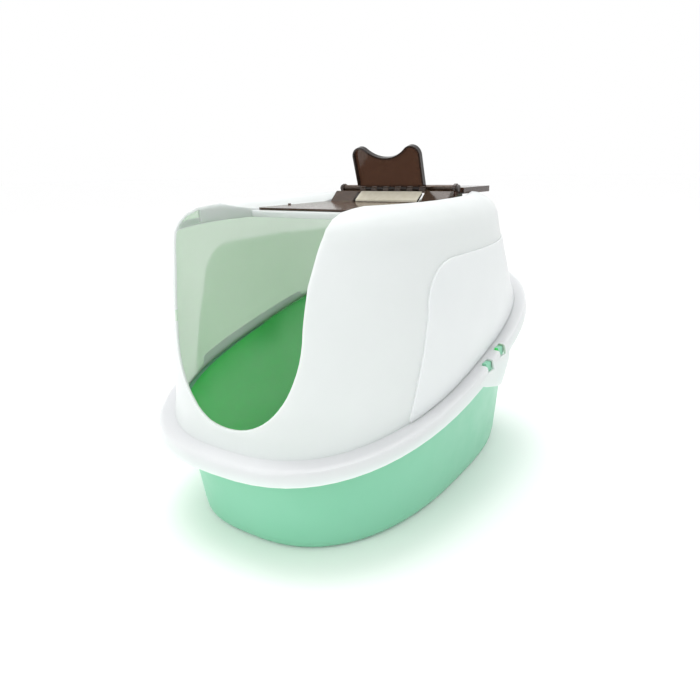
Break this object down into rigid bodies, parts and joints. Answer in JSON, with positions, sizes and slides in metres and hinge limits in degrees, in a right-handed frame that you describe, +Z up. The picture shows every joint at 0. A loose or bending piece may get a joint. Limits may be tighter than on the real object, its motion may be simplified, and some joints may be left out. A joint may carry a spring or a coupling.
{
  "type": "hooded cat litter box",
  "caption": "Cat litter box: high-backed tray, lift-off hood with a scooped open entrance, flip-top smoked lid with filter and ear-shaped hatch.",
  "frame": {"origin": "centre of the tray's footprint on the floor, midway along and across the rim", "axes": "+Z up, -Y out of the entrance, +X to the side; X = 0 is the plane of symmetry"},
  "size_m": [0.3974, 0.56, 0.4254],
  "materials": {
    "mint_polypropylene": "satin moulded polypropylene",
    "white_polypropylene": "satin moulded polypropylene, slightly translucent",
    "smoked_plastic": "polished smoke-tinted styrene",
    "hinge_plastic": "dark moulded acetal",
    "filter_felt": "needle-punched felt"
  },
  "bodies": {
    "tray": {"tray": "mint_polypropylene"},
    "hood": {"hood": "white_polypropylene", "rear_cover": "smoked_plastic", "lid_hinge_rod": "hinge_plastic"},
    "lid": {"top_lid": "smoked_plastic", "hatch_hinge_pin": "hinge_plastic", "filter_pad": "filter_felt", "filter_retainer": "smoked_plastic"},
    "hatch": {"filter_hatch": "smoked_plastic"}
  },
  "joints": [
    {"name": "hood_lift", "type": "slide", "parent": "tray", "child": "hood", "axis": [0, 0, 1], "range_m": [0, 0.16]},
    {"name": "lid_open", "type": "hinge", "parent": "hood", "child": "lid", "pos_m": [0, 0.104, 0.3694], "axis": [-1, 0, 0], "range_deg": [0, 85]},
    {"name": "hatch_close", "type": "hinge", "parent": "lid", "child": "hatch", "pos_m": [0, 0.0905, 0.369], "axis": [1, 0, 0], "range_deg": [0, 73]}
  ]
}
